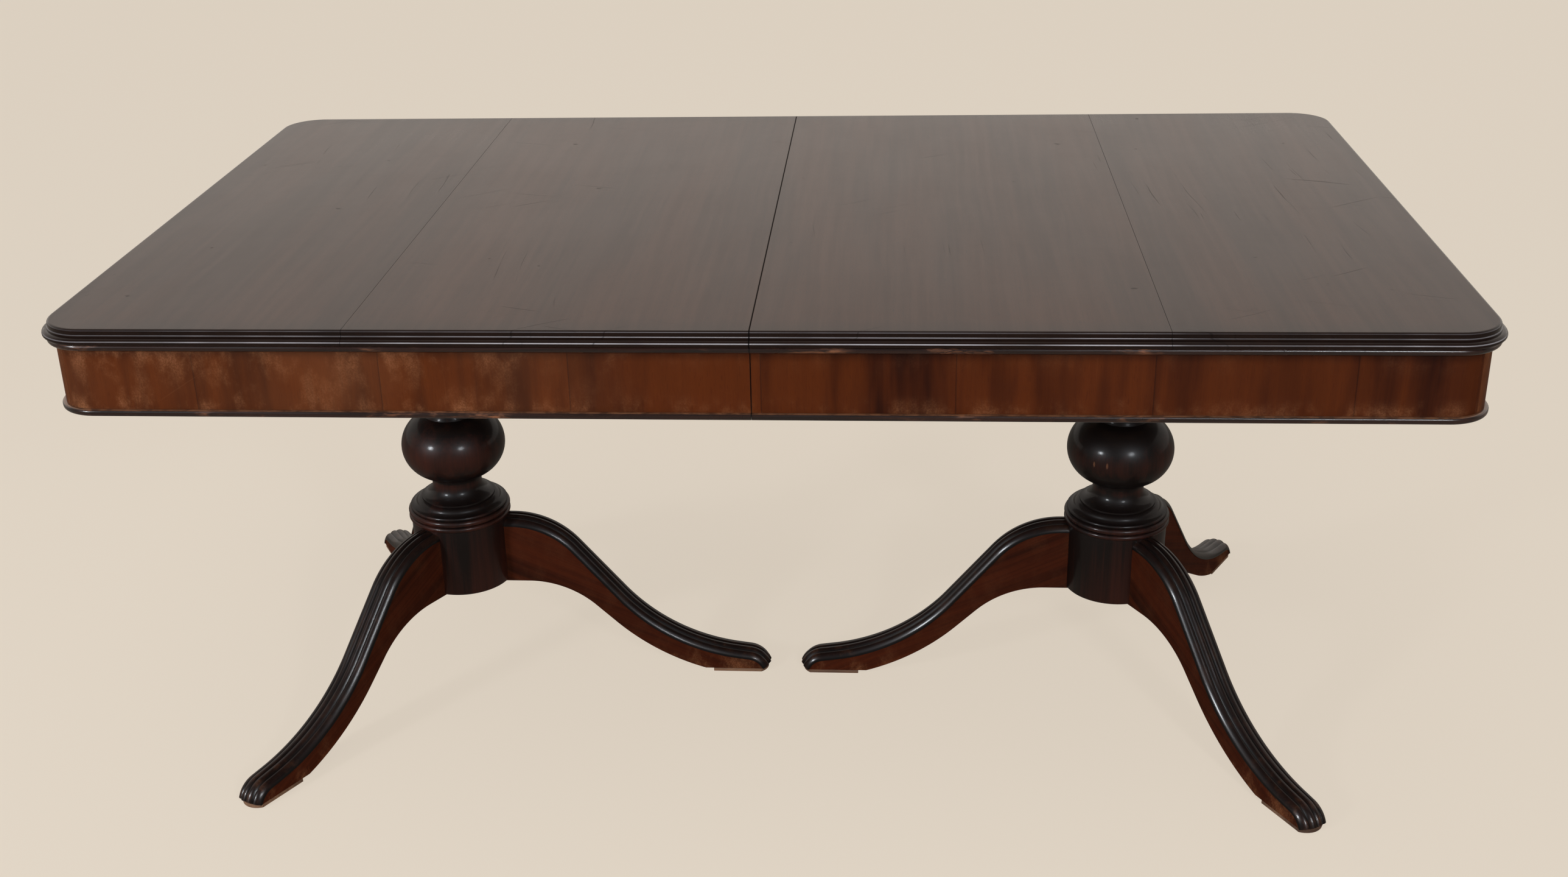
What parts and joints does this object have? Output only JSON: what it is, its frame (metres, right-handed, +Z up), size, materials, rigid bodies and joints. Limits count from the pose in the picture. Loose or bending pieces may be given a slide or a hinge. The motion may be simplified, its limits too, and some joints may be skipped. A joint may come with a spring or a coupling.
{
  "type": "double pedestal dining table",
  "caption": "Pedestal dining table that pulls apart in the middle for a leaf, with moulded top, veneered apron, turned columns and reeded sabre legs.",
  "frame": {"origin": "on the floor under the middle of the closed table", "axes": "+X along the table towards the half that slides, +Y from the front long side to the back long side, +Z up"},
  "size_m": [1.75, 1.056, 0.76],
  "materials": {
    "top_mahogany": "worn satin polish",
    "moulding_mahogany": "dark gloss polish",
    "apron_veneer": "worn satin polish over upright veneer",
    "turned_mahogany": "dark gloss polish",
    "leg_mahogany": "dark satin polish",
    "sole_wood": "bare",
    "frame_wood": "bare planed softwood",
    "slide_wood": "bare waxed hardwood",
    "plate_iron": "black japan",
    "screw_steel": "dull steel",
    "lock_brass": "aged brass"
  },
  "bodies": {
    "left_half": {"left_apron_bead": "moulding_mahogany", "left_back_corner": "apron_veneer", "left_back_leg": "leg_mahogany", "left_back_rail": "apron_veneer", "left_back_slide": "slide_wood", "left_column": "turned_mahogany", "left_edge_bead": "moulding_mahogany", "left_end_rail": "apron_veneer", "left_frame_screws": "screw_steel", "left_front_corner": "apron_veneer", "left_front_leg": "leg_mahogany", "left_front_rail": "apron_veneer", "left_front_slide": "slide_wood", "left_glue_blocks": "frame_wood", "left_head_block": "frame_wood", "left_inner_batten": "frame_wood", "left_inner_leg": "leg_mahogany", "left_inner_top_board": "top_mahogany", "left_outer_batten": "frame_wood", "left_outer_top_board": "top_mahogany", "left_slide_screws": "screw_steel", "left_sole_pads": "sole_wood", "left_tripod_plate": "plate_iron", "left_tripod_screws": "screw_steel", "lock_plates": "lock_brass", "lock_plate_screws": "screw_steel"},
    "right_half": {"right_apron_bead": "moulding_mahogany", "right_back_corner": "apron_veneer", "right_back_leg": "leg_mahogany", "right_back_rail": "apron_veneer", "right_back_slide": "slide_wood", "right_column": "turned_mahogany", "right_edge_bead": "moulding_mahogany", "right_end_rail": "apron_veneer", "right_frame_screws": "screw_steel", "right_front_corner": "apron_veneer", "right_front_leg": "leg_mahogany", "right_front_rail": "apron_veneer", "right_front_slide": "slide_wood", "right_glue_blocks": "frame_wood", "right_head_block": "frame_wood", "right_inner_batten": "frame_wood", "right_inner_leg": "leg_mahogany", "right_inner_top_board": "top_mahogany", "right_outer_batten": "frame_wood", "right_outer_top_board": "top_mahogany", "right_slide_screws": "screw_steel", "right_sole_pads": "sole_wood", "right_tripod_plate": "plate_iron", "right_tripod_screws": "screw_steel", "alignment_pegs": "slide_wood", "lock_keepers": "lock_brass", "lock_keeper_screws": "screw_steel"},
    "front_runner": {"front_runner": "slide_wood"},
    "back_runner": {"back_runner": "slide_wood"},
    "front_lock_arm": {"front_lock_lever": "lock_brass"},
    "back_lock_arm": {"back_lock_lever": "lock_brass"}
  },
  "joints": [
    {"name": "right_half_slide", "type": "slide", "parent": "left_half", "child": "right_half", "axis": [1, 0, 0], "range_m": [0, 0.46]},
    {"name": "front_runner_slide", "type": "slide", "parent": "left_half", "child": "front_runner", "axis": [1, 0, 0], "range_m": [0, 0.23]},
    {"name": "back_runner_slide", "type": "slide", "parent": "left_half", "child": "back_runner", "axis": [1, 0, 0], "range_m": [0, 0.23]},
    {"name": "front_lock_turn", "type": "hinge", "parent": "left_half", "child": "front_lock_arm", "pos_m": [-0.045, -0.40008, 0.737], "axis": [0, 0, -1], "range_deg": [0, 90]},
    {"name": "back_lock_turn", "type": "hinge", "parent": "left_half", "child": "back_lock_arm", "pos_m": [-0.045, 0.40008, 0.737], "axis": [0, 0, 1], "range_deg": [0, 90]}
  ],
  "couplings": [
    {"joint": "front_runner_slide", "follows": "right_half_slide", "ratio": 0.5},
    {"joint": "back_runner_slide", "follows": "right_half_slide", "ratio": 0.5}
  ]
}
